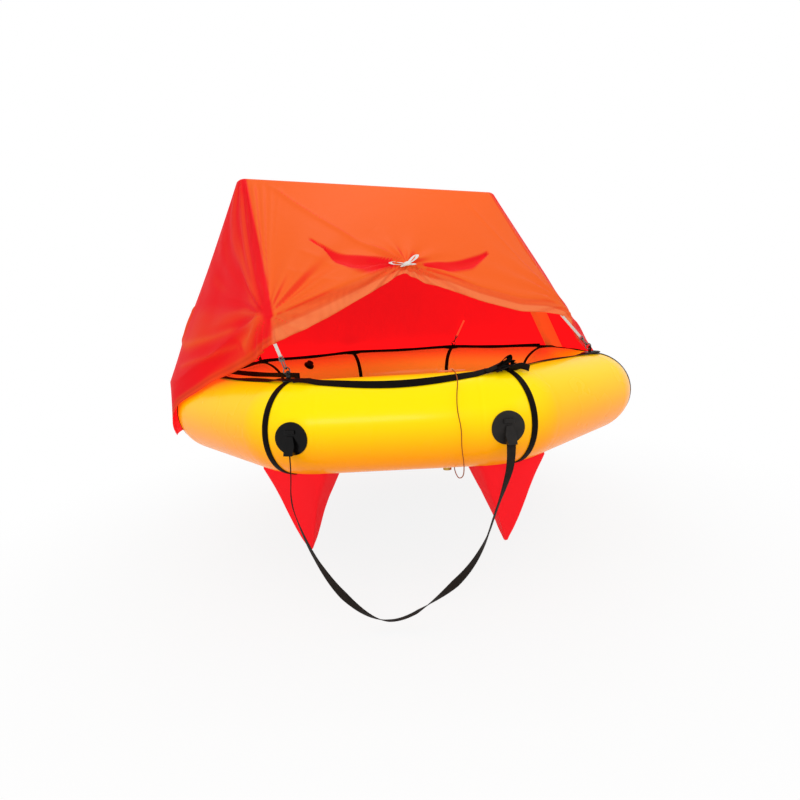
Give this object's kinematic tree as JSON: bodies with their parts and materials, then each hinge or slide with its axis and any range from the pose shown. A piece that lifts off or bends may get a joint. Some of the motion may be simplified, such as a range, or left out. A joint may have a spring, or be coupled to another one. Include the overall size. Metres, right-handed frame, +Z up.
{
  "type": "inflatable liferaft",
  "caption": "Inflated liferaft: polygonal buoyancy tube, floor, tent canopy over an arch, tied back at the entrance, with ballast bags, grab lines and a hanging boarding strap.",
  "frame": {"origin": "middle of the raft on the plane that the tube's underside floats on", "axes": "+Z up, -Y out of the entrance towards a person who boards, +X to that person's right"},
  "size_m": [1.7884, 1.7914, 1.4153],
  "materials": {
    "tube_yellow": "coated fabric with a satin sheen",
    "arch_orange": "coated fabric with a satin sheen",
    "floor_rubber": "coated fabric, matte",
    "canopy_cloth": "proofed cloth with fine folds",
    "tie_cord": "braided cord",
    "webbing_black": "woven webbing",
    "patch_rubber": "smooth moulded rubber",
    "steel": "satin",
    "tape_white": "woven tape",
    "bag_red": "proofed cloth",
    "buckle_plastic": "matte",
    "valve_plastic": "matte",
    "brass": "satin",
    "cylinder_paint": "painted, semi-gloss",
    "hose_rubber": "matte",
    "line_cord": "thin braided line"
  },
  "bodies": {
    "raft": {"buoyancy_tube": "tube_yellow", "arch_tube": "arch_orange", "floor": "floor_rubber", "canopy": "canopy_cloth", "door_tie": "tie_cord", "corner_band_d": "webbing_black", "corner_band_n": "webbing_black", "corner_band_m": "webbing_black", "corner_band_f": "webbing_black", "corner_band_l": "webbing_black", "corner_band_a": "webbing_black", "corner_band_b": "webbing_black", "corner_band_c": "webbing_black", "corner_patch_d": "patch_rubber", "corner_patch_n": "patch_rubber", "corner_patch_m": "patch_rubber", "corner_patch_f": "patch_rubber", "corner_patch_l": "patch_rubber", "corner_patch_a": "patch_rubber", "corner_patch_b": "patch_rubber", "corner_patch_c": "patch_rubber", "tie_ring_a": "steel", "tie_ring_c": "steel", "tie_ring_n": "steel", "tie_ring_f": "steel", "snap_hook_a": "steel", "snap_hook_c": "steel", "snap_hook_n": "steel", "snap_hook_f": "steel", "tie_tape_a": "tape_white", "tie_tape_c": "tape_white", "tie_tape_n": "tape_white", "tie_tape_f": "tape_white", "ballast_bag_a": "bag_red", "ballast_bag_b": "bag_red", "ballast_bag_m": "bag_red", "ballast_bag_n": "bag_red", "outer_lifeline": "webbing_black", "inner_lifeline": "webbing_black", "boarding_strap": "webbing_black", "cylinder_sling_left": "webbing_black", "cylinder_sling_right": "webbing_black", "lifeline_buckle": "buckle_plastic", "boarding_patch_left": "patch_rubber", "boarding_patch_right": "patch_rubber", "valve_body": "valve_plastic", "firing_head": "brass", "inlet_fitting": "brass", "gas_cylinder": "cylinder_paint", "inflation_hose": "hose_rubber", "firing_line": "line_cord", "line_knot": "line_cord"},
    "gate_a": {"hook_gate_a": "steel"},
    "gate_c": {"hook_gate_c": "steel"},
    "gate_n": {"hook_gate_n": "steel"},
    "gate_f": {"hook_gate_f": "steel"},
    "poppet": {"valve_poppet": "brass"},
    "cap": {"valve_cap": "valve_plastic"},
    "lever": {"firing_lever": "brass"}
  },
  "joints": [
    {"name": "hook_gate_a", "type": "hinge", "parent": "raft", "child": "gate_a", "pos_m": [-0.33125, -0.72908, 0.34218], "axis": [0.6252, 0.6931, 0.3589], "range_deg": [0, 25], "stiffness_Nm_per_rad": 0.02, "springref_deg": -8.59},
    {"name": "hook_gate_c", "type": "hinge", "parent": "raft", "child": "gate_c", "pos_m": [0.69397, -0.30964, 0.33471], "axis": [0.7688, 0.0877, 0.6335], "range_deg": [0, 25], "stiffness_Nm_per_rad": 0.02, "springref_deg": -8.59},
    {"name": "hook_gate_n", "type": "hinge", "parent": "raft", "child": "gate_n", "pos_m": [0.32224, 0.72235, 0.3399], "axis": [-0.8389, 0.2807, 0.4664], "range_deg": [0, 25], "stiffness_Nm_per_rad": 0.02, "springref_deg": -8.59},
    {"name": "hook_gate_f", "type": "hinge", "parent": "raft", "child": "gate_f", "pos_m": [-0.73353, 0.2739, 0.3369], "axis": [0.5034, 0.6478, 0.5718], "range_deg": [0, 25], "stiffness_Nm_per_rad": 0.02, "springref_deg": -8.59},
    {"name": "valve_press", "type": "slide", "parent": "raft", "child": "poppet", "axis": [-0.4731, 0.4731, -0.7432], "range_m": [0, 0.0025], "stiffness_N_per_m": 200, "springref_m": -0.001},
    {"name": "cap_pull", "type": "slide", "parent": "raft", "child": "cap", "axis": [0.4731, -0.4731, 0.7432], "range_m": [0, 0.018]},
    {"name": "lever_pull", "type": "hinge", "parent": "raft", "child": "lever", "pos_m": [0.158, -0.47034, -0.0246], "axis": [-1, 0, 0], "range_deg": [0, 60]}
  ]
}
